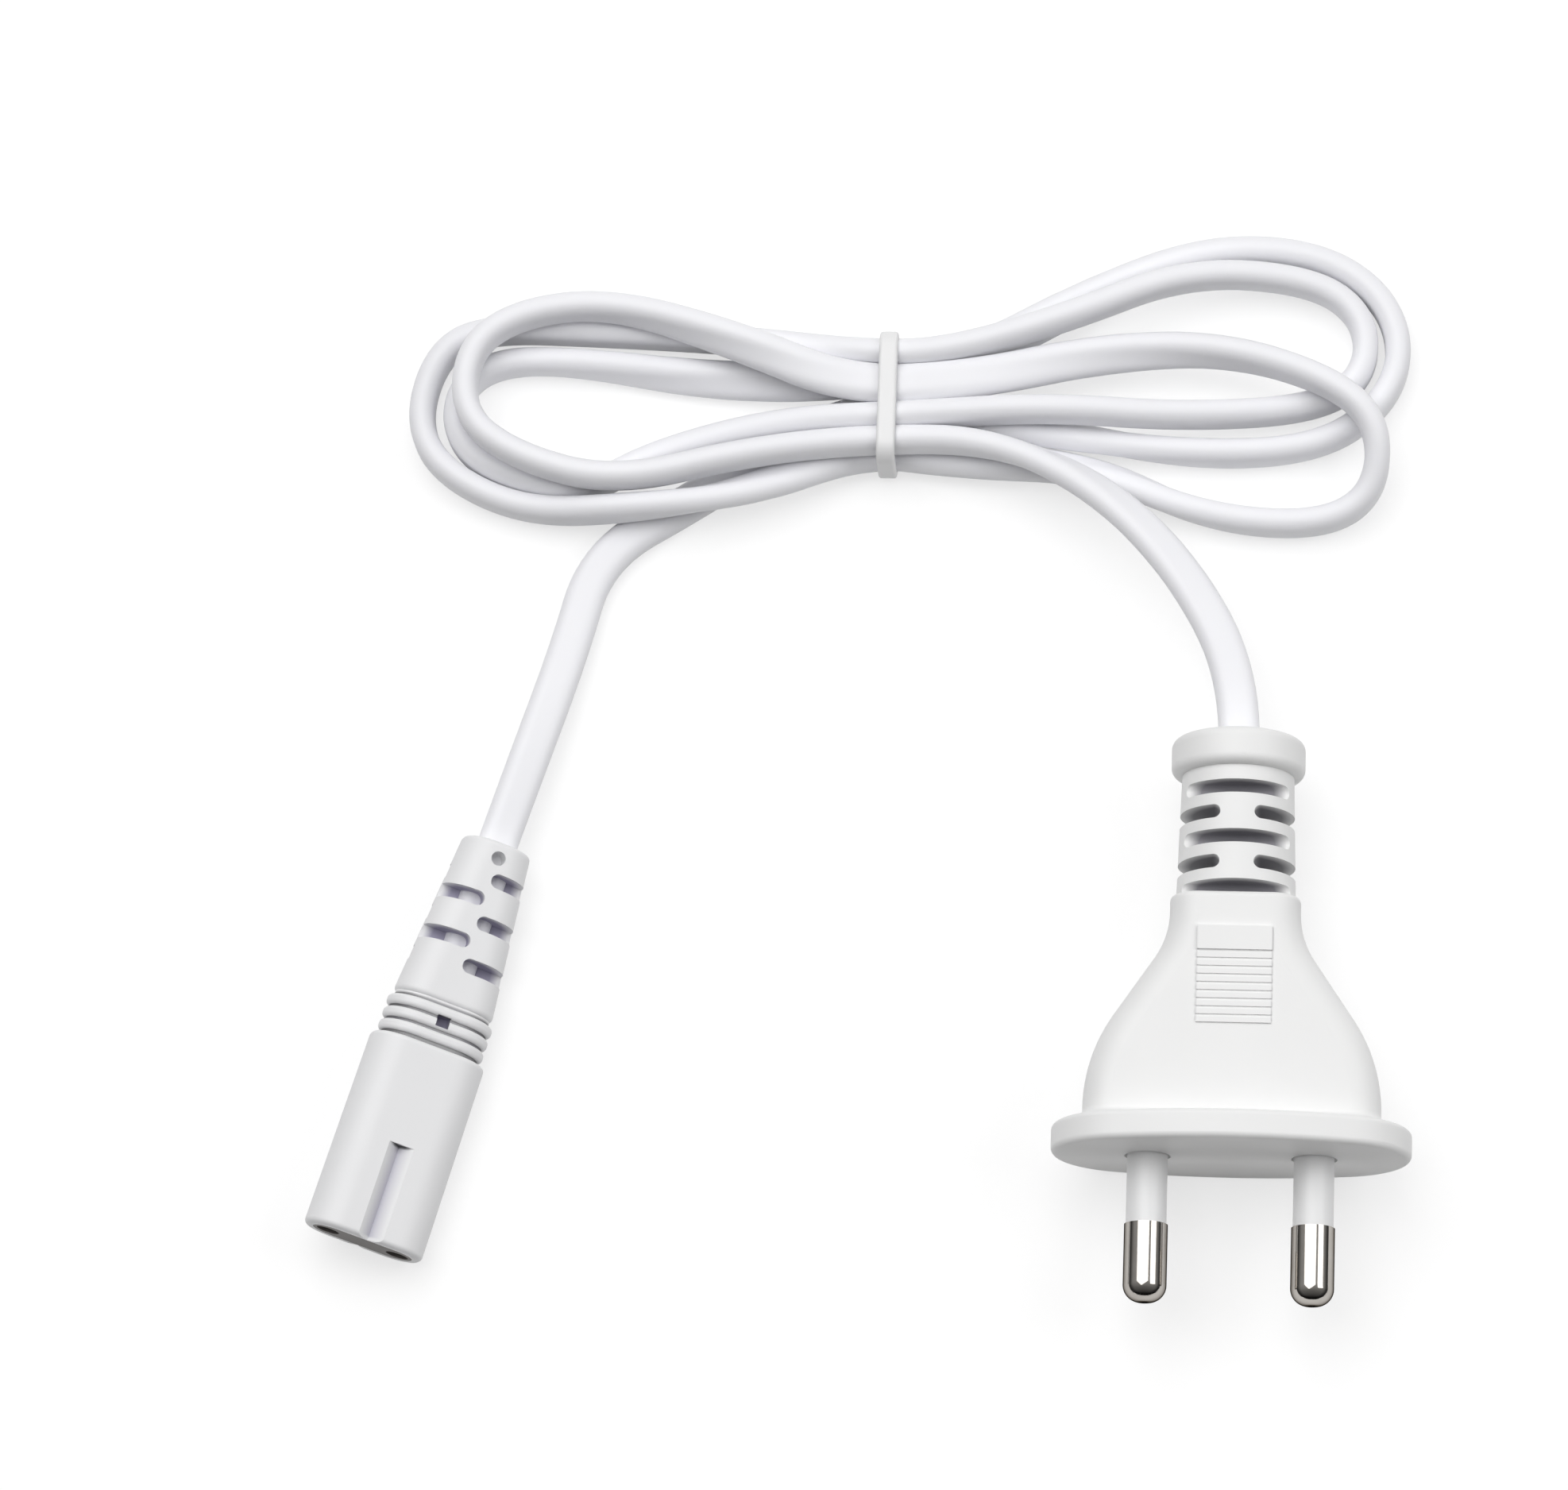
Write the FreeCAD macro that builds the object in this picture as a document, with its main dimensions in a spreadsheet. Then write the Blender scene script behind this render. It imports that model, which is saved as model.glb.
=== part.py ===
import FreeCAD, Part
import math
import os

import Sketcher

# Two-pin mains plug with a tied cord and a figure-8 connector, in millimetres.
# Frame: plug axis along Y with the pins towards -Y, X across the pins, the table at Z = 0.
# The origin is under the middle of the plug. The plug and connector are each drawn in
# a frame of their own (Y = 0 on the mating face, +Y towards the cord) and then placed.

V = FreeCAD.Vector
doc = FreeCAD.newDocument("CordSet")

SIZES = {
    # pins
    "pin_pitch": 19.0, "pin_dia": 5.0, "pin_reach": 17.0, "tip_round": 2.0,
    "sleeve_reach": 8.0, "sleeve_dia": 4.65, "shank_dia": 3.9,
    "knob_dia": 5.6, "knob_start": 2.5, "knob_len": 2.0,
    "crimp_dia": 2.6, "crimp_len": 6.0, "crimp_floor": 1.0,
    # pin carrier inside the moulding
    "face_skin": 2.0, "carrier_wide": 28.0, "carrier_high": 9.0, "carrier_deep": 8.0,
    # plug moulding
    "flange_step": 3.6, "flange_high": 22.0, "flange_end_round": 9.5, "flange_thick": 3.4,
    "rim_round": 0.7, "root_round": 0.8, "seat_dia": 5.3, "seat_deep": 0.5,
    "body_wide": 34.0, "body_thick": 15.0, "body_round": 3.4, "neck_wide": 15.0, "bell_start": 4.6,
    "bell_share": 0.592, "neck_share": 0.302, "neck_straight": 1.9, "shoulder": 29.7, "shoulder_round": 0.7,
    # strain relief and collar of the plug
    "relief_dia_front": 13.9, "relief_dia_back": 13.0, "collar_dia": 15.5, "collar_len": 4.4,
    "collar_round": 1.1, "plug_len": 49.4,
    "slot_pitch": 2.98, "slot_wide": 1.6, "slot_first": 30.5, "web_high": 5.8, "web_wide": 3.9,
    # grip pads
    "grip_wide": 8.6, "grip_start": 14.1, "grip_block": 2.8, "grip_rise": 0.4, "grip_root": 1.0,
    "rib_pitch": 0.95, "rib_wide": 0.62, "rib_drop": 0.15, "rib_floor": 0.05,
    # cord
    "cord_wide": 4.8, "cord_thick": 3.0, "core_dia": 1.8, "core_gap": 2.0, "wire_dia": 0.9,
    "strip_at": 25.5, "splay_at": 22.3, "join_at": 18.6, "core_tail": 0.6,
    # connector moulding
    "conn_len": 49.4, "front_wide": 14.3, "front_back_wide": 13.9, "conn_high": 8.2, "front_len": 23.9,
    "waist_wide": 11.6, "waist_high": 6.8, "waist_bury": 1.0, "ring_wide": 12.9, "ring_high": 7.9,
    "ring_len": 1.25, "ring_pitch": 1.55, "ring_first": 24.35, "ring_round": 0.5,
    "tail_start": 29.2, "tail_wide_front": 12.1, "tail_wide_back": 8.2, "tail_high": 7.4,
    "tail_round": 0.6, "front_round": 0.6, "side_land": 0.3,
    "mark_dia": 1.7, "mark_at": 2.0, "rib_hole_wide": 1.6, "rib_hole_len": 1.4, "rib_hole_at": 26.9,
    "rib_hole_deep": 2.2, "notch_first": 34.2, "notch_pitch": 2.65, "notch_wide": 1.75,
    "groove_len": 11.6, "groove_wide": 3.0, "groove_deep": 1.42, "groove_bulge": 0.08,
    # connector insert and contacts
    "hole_pitch": 8.6, "hole_dia": 2.7, "mouth_deep": 4.0, "insert_wide": 12.2, "insert_high": 5.2,
    "insert_deep": 13.0, "tube_dia": 3.5, "tube_len": 8.0, "tube_slit": 0.6,
    "conn_crimp_len": 5.0, "conn_join_at": 21.6, "conn_splay_at": 26.0, "conn_strip_at": 28.8,
    # where the connector lies
    "conn_x": -99.9, "conn_y": -27.2, "conn_turn": -15.64, "conn_roll": 20.0,
    # hank and tie
    "hank_high": 9.6, "hank_round": 2.5, "tie_x": -42.4, "tie_y": 75.9, "tie_wide": 2.2,
    "tie_span": 16.5, "tie_high": 9.7, "tie_wall": 0.8, "tie_round": 2.4, "tie_edge": 0.4,
}
RIB_COUNT = 9
RING_COUNT = 3
SLOT_COUNT = 5
NOTCH_COUNT = 5
ARC_SHARE = 0.45

sheet = doc.addObject("Spreadsheet::Sheet", "Sizes")
for row, (alias, number) in enumerate(SIZES.items(), 1):
    sheet.set(f"A{row}", alias)
    sheet.set(f"B{row}", str(number))
    sheet.setAlias(f"B{row}", alias)
doc.recompute()


class Dim:
    """A number that also keeps the sheet expression it came from."""

    def __init__(self, number, text):
        self.number, self.text = float(number), text

    @staticmethod
    def of(other):
        return other if isinstance(other, Dim) else Dim(other, repr(float(other)))

    def join(self, sign, other, number):
        return Dim(number, f"({self.text} {sign} {Dim.of(other).text})")

    def __add__(self, other):
        return self.join("+", other, self.number + Dim.of(other).number)

    def __sub__(self, other):
        return self.join("-", other, self.number - Dim.of(other).number)

    def __mul__(self, other):
        return self.join("*", other, self.number * Dim.of(other).number)

    def __truediv__(self, other):
        return self.join("/", other, self.number / Dim.of(other).number)

    def __neg__(self):
        return Dim(-self.number, f"(0 - {self.text})")

    def __float__(self):
        return self.number


ZERO = Dim(0.0, "0")
D = {alias: Dim(sheet.get(alias), f"Sizes.{alias}") for alias in SIZES}
S = {alias: dim.number for alias, dim in D.items()}


# helpers

def bind(obj, **properties):
    """Ties properties of an object to the sheet; a double underscore stands for a dot."""
    for name, dim in properties.items():
        obj.setExpression(name.replace("__", "."), Dim.of(dim).text)
    return obj


def shape_node(name, shape):
    """A feature with its shape worked out in code from the sheet's sizes."""
    obj = doc.addObject("Part::Feature", name)
    obj.Shape = shape
    return obj


def extrusion(name, wire, direction, length, symmetric=False):
    """Extrudes a closed wire along a direction by a length from the sheet."""
    outline = shape_node(name + "Outline", wire)
    obj = doc.addObject("Part::Extrusion", name)
    obj.Base, obj.DirMode, obj.Dir = outline, "Custom", direction
    obj.Solid, obj.Symmetric = True, symmetric
    bind(obj, LengthFwd=length)
    return obj


def fuse(name, objects):
    obj = doc.addObject("Part::MultiFuse", name)
    obj.Shapes = list(objects)
    obj.Refine = True
    return obj


def cut(name, base, tool):
    obj = doc.addObject("Part::Cut", name)
    obj.Base, obj.Tool = base, tool
    return obj


def cylinder(name, radius, length, x=ZERO, y=ZERO):
    """A cylinder along +Y from a point of the drawing plane."""
    obj = doc.addObject("Part::Cylinder", name)
    obj.Placement = FreeCAD.Placement(V(0, 0, 0), FreeCAD.Rotation(V(1, 0, 0), -90))
    bind(obj, Radius=radius, Height=length, Placement__Base__x=x, Placement__Base__y=y)
    return obj


def fillet(name, base, radius, choose):
    """Rounds the edges of a feature that a test picks out."""
    doc.recompute()
    obj = doc.addObject("Part::Fillet", name)
    obj.Base = base
    picked = [i for i, edge in enumerate(base.Shape.Edges, 1) if choose(edge.BoundBox)]
    obj.Edges = [(i, radius, radius) for i in picked]
    doc.recompute()
    return obj


def sketch_loop(sketch, points):
    """Draws a closed polygon whose corners are placed from the sheet."""
    count = len(points)
    for i, (x, y) in enumerate(points):
        u, v = points[(i + 1) % count]
        line = Part.LineSegment(V(float(x), float(y), 0), V(float(u), float(v), 0))
        sketch.addGeometry(line, False)
    for i in range(count):
        sketch.addConstraint(Sketcher.Constraint("Coincident", i, 2, (i + 1) % count, 1))
    for i, (x, y) in enumerate(points):
        for kind, dim, axis in (("DistanceX", x, -2), ("DistanceY", y, -1)):
            if dim is ZERO:
                sketch.addConstraint(Sketcher.Constraint("PointOnObject", i, 1, axis))
            else:
                index = sketch.addConstraint(Sketcher.Constraint(kind, -1, 1, i, 1, float(dim)))
                sketch.setExpression(f"Constraints[{index}]", dim.text)


def turned(name, points):
    """A body turned about its own Y axis from a polygon of (radius, height) corners."""
    body = doc.addObject("PartDesign::Body", name)
    sketch = body.newObject("Sketcher::SketchObject", name + "Profile")
    plane = next(f for f in body.Origin.OriginFeatures if f.Role == "XY_Plane")
    sketch.AttachmentSupport, sketch.MapMode = (plane, [""]), "FlatFace"
    sketch_loop(sketch, points)
    turn = body.newObject("PartDesign::Revolution", name + "Turn")
    turn.Profile, turn.ReferenceAxis, turn.Angle = sketch, (sketch, ["V_Axis"]), 360.0
    sketch.Visibility = False
    body.Tip = turn
    doc.recompute()
    return body


def obround(wide, high, y, x=0.0):
    """A wire with straight long sides and round ends, square to the drawing axis."""
    r, a = high / 2, (wide - high) / 2
    top = Part.LineSegment(V(x - a, y, r), V(x + a, y, r)).toShape()
    right = Part.Arc(V(x + a, y, r), V(x + a + r, y, 0), V(x + a, y, -r)).toShape()
    under = Part.LineSegment(V(x + a, y, -r), V(x - a, y, -r)).toShape()
    left = Part.Arc(V(x - a, y, -r), V(x - a - r, y, 0), V(x - a, y, r)).toShape()
    return Part.Wire([top, right, under, left])


def tongue(tip, reach, y, wide, plane):
    """A slot outline with a round inner end, from tip out to reach, in the XY or ZY plane."""
    side, r = math.copysign(1.0, reach), wide / 2

    def at(u, w):
        return V(u, y + w, 0) if plane == "XY" else V(0, y + w, u)

    knee = tip + side * r
    return Part.Wire([Part.Arc(at(knee, r), at(tip, 0), at(knee, -r)).toShape(),
                      Part.LineSegment(at(knee, -r), at(reach, -r)).toShape(),
                      Part.LineSegment(at(reach, -r), at(reach, r)).toShape(),
                      Part.LineSegment(at(reach, r), at(knee, r)).toShape()])


def slot_rows(name):
    """Slots of the plug's relief that change side row by row: top and bottom, then left and right."""
    cutters, outer = [], S["collar_dia"]
    for row in range(SLOT_COUNT):
        plane, along, web = (("ZY", V(1, 0, 0), "web_high"), ("XY", V(0, 0, 1), "web_wide"))[row % 2]
        y = S["slot_first"] + row * S["slot_pitch"]
        for side in (1, -1):
            wire = tongue(side * S[web] / 2, side * outer, y, S["slot_wide"], plane)
            label = f"{name}{row}{'a' if side > 0 else 'b'}"
            cutters.append(extrusion(label, wire, along, D["collar_dia"] * 2, True))
    return fuse(name, cutters)


def notch_rows(name):
    """Slots of the connector's tail: one above the middle, its twin across the axis below."""
    cutters = []
    for row in range(NOTCH_COUNT):
        y = S["notch_first"] + row * S["notch_pitch"]
        for half in (1, -1):
            side = half if row % 2 == 0 else -half
            wire = tongue(0.0, side * S["tail_wide_front"], y, S["notch_wide"], "XY")
            label = f"{name}{row}{'a' if half > 0 else 'b'}"
            cutters.append(extrusion(label, wire, V(0, 0, half), D["tail_high"]))
    return fuse(name, cutters)


def bend(before, knee, after):
    """The largest arc that two runs of a route allow, with its radius."""
    a, b = before - knee, after - knee
    run = ARC_SHARE * min(a.Length, b.Length)
    a.normalize(), b.normalize()
    half_turn = (math.pi - a.getAngle(b)) / 2
    radius = run / math.tan(half_turn)
    middle = knee + (a + b).normalize() * (radius / math.cos(half_turn) - radius)
    return knee + a * run, middle, knee + b * run, radius


def route(points):
    """A wire of straight runs and tangent arcs through hand-chosen points."""
    places = [V(*p) for p in points]
    edges, last, radii = [], places[0], []
    for corner in zip(places, places[1:], places[2:]):
        start, middle, end, radius = bend(*corner)
        edges += [Part.LineSegment(last, start).toShape(), Part.Arc(start, middle, end).toShape()]
        last = end
        radii.append(radius)
    edges.append(Part.LineSegment(last, places[-1]).toShape())
    return Part.Wire(edges), radii


def loop(points):
    """A closed outline on the table, its corners rounded as far as its sides allow."""
    places = [V(x, y, 0) for x, y in points]
    count = len(places)
    arcs = [bend(places[i - 1], places[i], places[(i + 1) % count]) for i in range(count)]
    edges = []
    for i, (start, middle, end, _) in enumerate(arcs):
        edges += [Part.LineSegment(arcs[i - 1][2], start).toShape(), Part.Arc(start, middle, end).toShape()]
    return Part.Wire(edges)


def tube(name, points, section):
    """A cord along a route; the section wire stands at its first point."""
    path, radii = route(points)
    solid = path.makePipeShell([section], True, False)
    obj = shape_node(name, solid)
    area = Part.Face(section).Area
    print(name, "arc radii", [round(r, 1) for r in radii], "volume share",
          round(solid.Volume / (area * path.Length), 3), "length", round(path.Length, 1))
    return obj


def flat_section(place, y):
    """The cord's flat section where it leaves a moulding."""
    wire = obround(S["cord_wide"], S["cord_thick"], y)
    wire.Placement = place
    return wire


# pins: tip, sleeved shank, retaining collar, crimp barrel

pin_r, shank_r, knob_r = D["pin_dia"] / 2, D["shank_dia"] / 2, D["knob_dia"] / 2
crimp_r, wire_r = D["crimp_dia"] / 2, D["wire_dia"] / 2
carrier_end = D["face_skin"] + D["carrier_deep"]
knob_at = D["face_skin"] + D["knob_start"]
crimp_end = carrier_end + D["crimp_len"]
PIN_PROFILE = [
    (ZERO, -D["pin_reach"]), (pin_r, -D["pin_reach"]), (pin_r, -D["sleeve_reach"]),
    (shank_r, -D["sleeve_reach"]), (shank_r, knob_at), (knob_r, knob_at),
    (knob_r, knob_at + D["knob_len"]), (shank_r, knob_at + D["knob_len"]), (shank_r, carrier_end),
    (crimp_r, carrier_end), (crimp_r, crimp_end), (wire_r, crimp_end),
    (wire_r, carrier_end + D["crimp_floor"]), (ZERO, carrier_end + D["crimp_floor"]),
]
SLEEVE_PROFILE = [
    (shank_r, -D["sleeve_reach"]), (D["sleeve_dia"] / 2, -D["sleeve_reach"]),
    (D["sleeve_dia"] / 2, D["face_skin"]), (shank_r, D["face_skin"]),
]


def pin(name, side):
    """One pin with its tip rounded, on one side of the plug."""
    body = turned(name + "_turned", PIN_PROFILE)
    tip = -S["pin_reach"]
    rounded = fillet(name, body, S["tip_round"], lambda b: abs(b.YMin - tip) + abs(b.YMax - tip) < 1e-4)
    bind(rounded, Placement__Base__x=D["pin_pitch"] * side / 2)
    return rounded


def sleeve(name, side):
    body = turned(name, SLEEVE_PROFILE)
    bind(body, Placement__Base__x=D["pin_pitch"] * side / 2)
    return body


SIDES = {"live": -1.0, "neutral": 1.0}
pins = {key: pin(f"pin_{key}", side) for key, side in SIDES.items()}
sleeves = {key: sleeve(f"pin_sleeve_{key}", side) for key, side in SIDES.items()}

block = doc.addObject("Part::Box", "CarrierBlock")
bind(block, Length=D["carrier_wide"], Width=D["carrier_deep"], Height=D["carrier_high"],
     Placement__Base__x=-D["carrier_wide"] / 2, Placement__Base__y=D["face_skin"],
     Placement__Base__z=-D["carrier_high"] / 2)
pin_pair = fuse("PinPair", pins.values())
carrier = cut("pin_carrier", block, pin_pair)


# cores and conductor ends, in the plug and in the connector

def core(name, side, start, pitch, join, splay, strip):
    """An insulated core from a crimp to the stripped end of the cord."""
    near, far = side * pitch / 2, side * S["core_gap"] / 2
    points = [(near, start, 0), (near, join, 0), (far, splay, 0), (far, strip, 0)]
    ring = Part.Wire(Part.makeCircle(S["core_dia"] / 2, V(near, start, 0), V(0, 1, 0)))
    return tube(name, points, ring)


def wire_end(name, side, pitch, start, length):
    return cylinder(name, wire_r, length, pitch * side / 2, start)


core_start = S["crimp_len"] + S["face_skin"] + S["carrier_deep"] + S["core_tail"]
cores = {k: core(f"core_{k}_plug", s, core_start, S["pin_pitch"], S["join_at"], S["splay_at"],
                 S["strip_at"]) for k, s in SIDES.items()}
wires = {k: wire_end(f"wire_{k}_plug", s, D["pin_pitch"], carrier_end + D["crimp_floor"],
                     D["crimp_len"] - D["crimp_floor"] + D["core_tail"]) for k, s in SIDES.items()}
cord_end = extrusion("cord_end_plug", obround(S["cord_wide"], S["cord_thick"], S["strip_at"]),
                     V(0, 1, 0), D["plug_len"] - D["strip_at"])


# plug moulding

def bell_outline():
    """The body seen from above: straight neck, hollow curve, slope, full curve, straight to the flange."""
    w, n, start = S["body_wide"] / 2, S["neck_wide"] / 2, S["bell_start"]
    step, rise = w - n, S["shoulder"] - S["neck_straight"] - start
    # the curves are shares of the radii that would meet without a slope between them
    whole = (step * step + rise * rise) / (2 * step)
    r1, r2 = whole * S["bell_share"], whole * S["neck_share"]
    full, hollow = V(w - r1, start, 0), V(n + r2, start + rise, 0)
    between = hollow - full
    flare = math.atan2(between.y, between.x) - math.acos((r1 + r2) / between.Length)

    def ray(angle):
        return V(math.cos(angle), math.sin(angle), 0)

    right = [V(w, 0, 0), V(w, full.y, 0), full + ray(flare / 2) * r1, full + ray(flare) * r1,
             hollow - ray(flare) * r2, hollow - ray(flare / 2) * r2, V(n, hollow.y, 0),
             V(n, S["shoulder"], 0)]
    left = [V(-p.x, p.y, 0) for p in right]
    edges = [Part.LineSegment(left[0], right[0]), Part.LineSegment(right[7], left[7])]
    for p in (right, left):
        edges += [Part.LineSegment(p[0], p[1]), Part.Arc(p[1], p[2], p[3]), Part.LineSegment(p[3], p[4]),
                  Part.Arc(p[4], p[5], p[6]), Part.LineSegment(p[6], p[7])]
    return Part.Wire(Part.__sortEdges__([e.toShape() for e in edges]))


def oval(wide, high, end_round, y):
    """A flange outline of four tangent arcs."""
    a, b, r = wide / 2, high / 2, end_round
    big = (a * a + b * b - 2 * a * r) / (2 * (b - r))
    reach = big / math.hypot(a - r, big - b)
    x, z = (a - r) * reach, (big - b) * reach - (big - b)
    arcs = [Part.Arc(V(-x, y, z), V(0, y, b), V(x, y, z)), Part.Arc(V(x, y, z), V(a, y, 0), V(x, y, -z)),
            Part.Arc(V(x, y, -z), V(0, y, -b), V(-x, y, -z)),
            Part.Arc(V(-x, y, -z), V(-a, y, 0), V(-x, y, z))]
    return Part.Wire([arc.toShape() for arc in arcs])


bell = extrusion("Bell", bell_outline(), V(0, 0, 1), D["body_thick"], True)
half_thick = S["body_thick"] / 2
bell_soft = fillet("BellSoft", bell, S["body_round"], lambda b: b.ZLength < 1e-4 and b.YLength > 1e-4
                   and abs(abs(b.ZMin) - half_thick) < 1e-4)
bell_done = fillet("BellDone", bell_soft, S["shoulder_round"],
                   lambda b: b.YLength < 1e-4 and abs(b.YMin - S["shoulder"]) < 1e-4)

flange_wide = S["body_wide"] + 2 * S["flange_step"]
flange = extrusion("Flange", oval(flange_wide, S["flange_high"], S["flange_end_round"], 0.0), V(0, 1, 0),
                   D["flange_thick"])
flange_done = fillet("FlangeDone", flange, S["rim_round"], lambda b: b.YLength < 1e-4)

half_back, half_front = D["relief_dia_back"] / 2, D["relief_dia_front"] / 2
collar_start = D["plug_len"] - D["collar_len"]
relief_start = D["shoulder"] - D["slot_wide"]
relief = turned("Relief", [(ZERO, relief_start), (half_front, relief_start), (half_back, collar_start),
                           (D["collar_dia"] / 2, collar_start), (D["collar_dia"] / 2, D["plug_len"]),
                           (ZERO, D["plug_len"])])
collar_r = S["collar_dia"] / 2
relief_done = fillet("ReliefDone", relief, S["collar_round"], lambda b: b.YLength < 1e-4
                     and abs(b.XLength - 2 * collar_r) < 1e-3)
slots = slot_rows("ReliefSlot")


def grip_outline():
    """A raised block and a row of fine ribs above the body's flat face, drawn from inside it."""
    low, top = half_thick - S["grip_root"], half_thick + S["grip_rise"]
    valley, y = half_thick + S["rib_floor"], S["grip_start"]
    points = [(y, low)]
    for _ in range(RIB_COUNT):
        points += [(y, valley), (y, top - S["rib_drop"]), (y + S["rib_wide"], top - S["rib_drop"]),
                   (y + S["rib_wide"], valley)]
        y += S["rib_pitch"]
    points += [(y, valley), (y, top), (y + S["grip_block"], top), (y + S["grip_block"], low)]
    clean = [p for i, p in enumerate(points) if i == 0 or p != points[i - 1]]
    return Part.makePolygon([V(0, a, b) for a, b in clean] + [V(0, clean[0][0], clean[0][1])])


grip_top = extrusion("GripTop", grip_outline(), V(1, 0, 0), D["grip_wide"], True)
grip_under = doc.addObject("Part::Mirroring", "GripUnder")
grip_under.Source, grip_under.Normal, grip_under.Base = grip_top, V(0, 0, 1), V(0, 0, 0)

def on_root(box):
    """Tells the edges where the body stands on the flange."""
    on_back = abs(box.YMin - S["flange_thick"]) + box.YLength < 1e-4
    return (on_back and max(box.XMax, -box.XMin) < S["body_wide"] / 2 + 1e-3
            and max(box.ZMax, -box.ZMin) < half_thick + 1e-3)


slotted = cut("ReliefSlotted", relief_done, slots)
shoulder_slots = cut("BellSlotted", bell_done, slots)
stand = fillet("BellOnFlange", fuse("BellAndFlange", [shoulder_slots, flange_done]), S["root_round"], on_root)
outer = fuse("PlugOuter", [stand, slotted, grip_top, grip_under])
seats = [cylinder(f"Seat{k}", D["seat_dia"] / 2, D["seat_deep"], D["pin_pitch"] * s / 2)
         for k, s in SIDES.items()]
plug_inside = fuse("PlugInside", [carrier, *pins.values(), *sleeves.values(), *cores.values(),
                                  *wires.values(), cord_end, *seats])
plug_body = cut("plug_body", outer, plug_inside)


# connector: insert, contacts, moulding

hole_r, tube_r = D["hole_dia"] / 2, D["tube_dia"] / 2
tube_end = D["mouth_deep"] + D["tube_len"]
CONTACT_PROFILE = [
    (hole_r, D["mouth_deep"]), (tube_r, D["mouth_deep"]), (tube_r, tube_end), (crimp_r, tube_end),
    (crimp_r, tube_end + D["conn_crimp_len"]), (wire_r, tube_end + D["conn_crimp_len"]),
    (wire_r, tube_end + D["crimp_floor"]), (ZERO, tube_end + D["crimp_floor"]),
    (ZERO, tube_end - D["crimp_floor"]), (hole_r, tube_end - D["crimp_floor"]),
]


def contact(name, side):
    """A sprung tube with a slit along its side and a crimp barrel behind."""
    body = turned(name + "_turned", CONTACT_PROFILE)
    slit = doc.addObject("Part::Box", name + "_slit")
    bind(slit, Length=D["tube_slit"], Width=D["tube_len"] - D["crimp_floor"] * 2, Height=D["tube_dia"],
         Placement__Base__x=-D["tube_slit"] / 2, Placement__Base__y=D["mouth_deep"])
    obj = cut(name, body, slit)
    bind(obj, Placement__Base__x=D["hole_pitch"] * side / 2)
    return obj


contacts = {k: contact(f"contact_{k}", s) for k, s in SIDES.items()}
insert_block = extrusion("InsertBlock", obround(S["insert_wide"], S["insert_high"], 0.0), V(0, 1, 0),
                         D["insert_deep"])
insert_room = fuse("InsertRoom", [cylinder(f"Mouth{k}", hole_r, D["mouth_deep"], D["hole_pitch"] * s / 2)
                                  for k, s in SIDES.items()]
                   + [cylinder(f"Room{k}", tube_r, D["tube_len"], D["hole_pitch"] * s / 2, D["mouth_deep"])
                      for k, s in SIDES.items()]
                   + [cylinder(f"Pass{k}", crimp_r, D["insert_deep"] - tube_end, D["hole_pitch"] * s / 2,
                               tube_end) for k, s in SIDES.items()])
insert = cut("connector_insert", insert_block, insert_room)

conn_crimp_end = S["mouth_deep"] + S["tube_len"] + S["conn_crimp_len"]
conn_cores = {k: core(f"core_{k}_connector", s, conn_crimp_end + S["core_tail"], S["hole_pitch"],
                      S["conn_join_at"], S["conn_splay_at"], S["conn_strip_at"]) for k, s in SIDES.items()}
conn_wires = {k: wire_end(f"wire_{k}_connector", s, D["hole_pitch"], tube_end + D["crimp_floor"],
                          D["conn_crimp_len"] - D["crimp_floor"] + D["core_tail"]) for k, s in SIDES.items()}
conn_cord = extrusion("cord_end_connector", obround(S["cord_wide"], S["cord_thick"], S["conn_strip_at"]),
                      V(0, 1, 0), D["conn_len"] - D["conn_strip_at"])

def flared(name, start, end, start_wide, end_wide, high, end_round):
    """A block with round narrow sides that changes width along its length."""
    a, b = start_wide / 2, end_wide / 2
    wire = Part.makePolygon([V(-a, start, 0), V(a, start, 0), V(b, end, 0), V(-b, end, 0), V(-a, start, 0)])
    raw = extrusion(name, wire, V(0, 0, 1), high, True)
    soft = fillet(name + "Soft", raw, float(high) / 2 - S["side_land"],
                  lambda box: box.YLength > 1e-3 and box.ZLength < 1e-4)
    return fillet(name + "Done", soft, end_round, lambda box: box.YLength < 1e-4)


front_done = flared("Front", 0.0, S["front_len"], S["front_wide"], S["front_back_wide"], D["conn_high"],
                    S["front_round"])
waist = extrusion("Waist", obround(S["waist_wide"], S["waist_high"], S["front_len"] - S["waist_bury"]),
                  V(0, 1, 0), D["tail_start"] - D["front_len"] + D["waist_bury"] * 2)
rings = []
for ring in range(RING_COUNT):
    wire = obround(S["ring_wide"], S["ring_high"], S["ring_first"] + ring * S["ring_pitch"])
    raw = extrusion(f"Ring{ring}", wire, V(0, 1, 0), D["ring_len"])
    rings.append(fillet(f"RingDone{ring}", raw, S["ring_round"], lambda b: b.YLength < 1e-4))
tail_done = flared("Tail", S["tail_start"], S["conn_len"], S["tail_wide_front"], S["tail_wide_back"],
                   D["tail_high"], S["tail_round"])
notches = notch_rows("TailNotch")
mark = doc.addObject("Part::Cylinder", "PinMark")
bind(mark, Radius=D["mark_dia"] / 2, Height=D["tail_high"], Placement__Base__y=D["conn_len"] - D["mark_at"])
tail_slotted = cut("TailSlotted", tail_done, fuse("TailCuts", [notches, mark]))
rib_hole = doc.addObject("Part::Box", "RibHole")
bind(rib_hole, Length=D["rib_hole_wide"], Width=D["rib_hole_len"], Height=D["ring_high"],
     Placement__Base__x=-D["rib_hole_wide"] / 2, Placement__Base__y=D["rib_hole_at"] - D["rib_hole_len"] / 2,
     Placement__Base__z=D["ring_high"] / 2 - D["rib_hole_deep"])
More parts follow.
